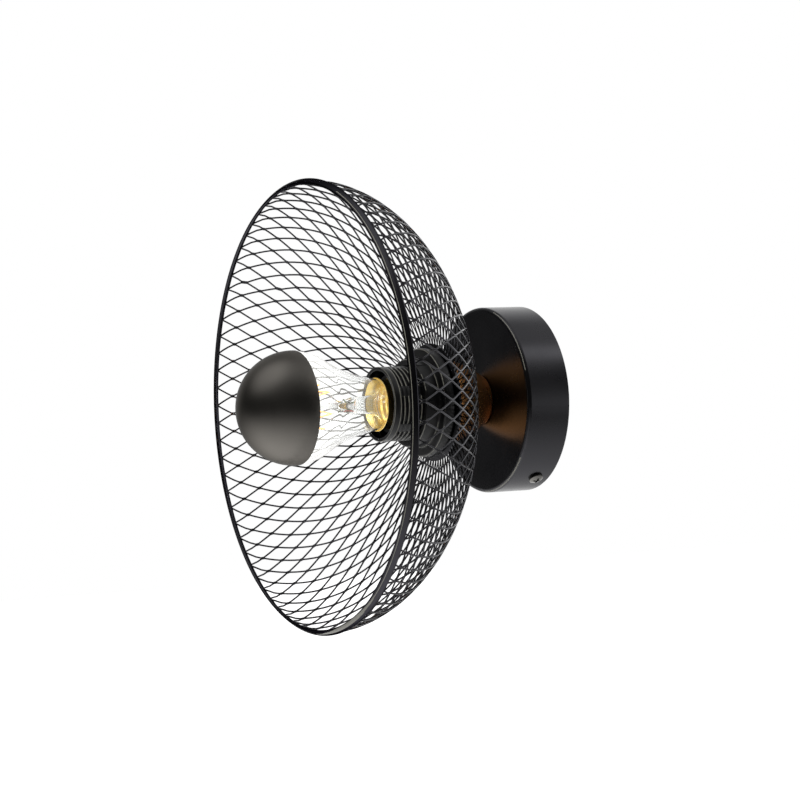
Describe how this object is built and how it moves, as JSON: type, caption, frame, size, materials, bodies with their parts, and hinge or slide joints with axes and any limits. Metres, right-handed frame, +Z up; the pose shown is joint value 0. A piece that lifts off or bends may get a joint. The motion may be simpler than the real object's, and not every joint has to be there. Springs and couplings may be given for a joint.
{
  "type": "cage wall light",
  "caption": "Wall light with a round canopy, a copper bell cup, a screw lampholder, a bowl shade of black expanded metal and a crown-coated filament bulb.",
  "frame": {"origin": "centre of the canopy's back, on the wall", "axes": "the wall is the plane y = 0, the light points along -Y, +Y goes into the wall, +Z is up and +X is to the right seen from the front"},
  "size_m": [0.238, 0.1675, 0.238],
  "materials": {
    "black_metal": "satin black powder coat",
    "copper_metal": "satin copper plate",
    "galvanised_steel": "zinc plated",
    "screw_steel": "black nickel plated",
    "brass": "bright",
    "tinned_copper": "tin plated",
    "black_plastic": "moulded, satin",
    "white_nylon": "moulded, natural",
    "brown_lead": "smooth insulation",
    "blue_lead": "smooth insulation",
    "green_yellow_lead": "smooth insulation, green and yellow",
    "cap_brass": "bright",
    "black_glass": "fused black glass",
    "clear_glass": "clear",
    "crown_coat": "matt black coat",
    "filament": "phosphor coated, lit"
  },
  "bodies": {
    "light_body": {"wall_bracket": "galvanised_steel", "canopy": "black_metal", "side_screws": "screw_steel", "earth_screw": "brass", "earth_tags": "tinned_copper", "earth_lead": "green_yellow_lead", "terminal_block": "white_nylon", "terminal_barrels": "brass", "terminal_screws": "screw_steel", "live_lead": "brown_lead", "neutral_lead": "blue_lead", "nipple": "galvanised_steel", "nipple_nuts": "galvanised_steel", "toothed_washer": "galvanised_steel", "bell_cup": "copper_metal", "holder_base": "black_plastic", "holder_sleeve": "black_plastic", "holder_core": "black_plastic", "screw_liner": "brass", "centre_contact": "brass", "side_contact": "brass", "holder_terminals": "brass", "holder_screws": "screw_steel", "shade_plate": "black_metal", "shade_mesh": "black_metal", "shade_rim": "black_metal"},
    "shade_ring": {"shade_ring": "black_plastic"},
    "bulb_tip": {"bulb_contact": "tinned_copper"},
    "bulb": {"bulb_insulator": "black_glass", "bulb_cap": "cap_brass", "bulb_glass": "clear_glass", "bulb_crown": "crown_coat", "bulb_stem": "clear_glass", "bulb_wires": "tinned_copper", "bulb_filaments": "filament"}
  },
  "joints": [
    {"name": "bulb_out", "type": "slide", "parent": "light_body", "child": "bulb_tip", "axis": [0, -1, 0], "range_m": [0, 0.01085]},
    {"name": "bulb_turn", "type": "hinge", "parent": "bulb_tip", "child": "bulb", "pos_m": [0, -0.0626, 0], "axis": [0, -1, 0], "range_deg": [0, 1080]},
    {"name": "ring_turn", "type": "hinge", "parent": "light_body", "child": "shade_ring", "pos_m": [0, -0.057, 0], "axis": [0, -1, 0], "range_deg": [0, 360]}
  ],
  "couplings": [
    {"joint": "bulb_out", "follows": "bulb_turn", "m_per_rad": 0.000573}
  ]
}
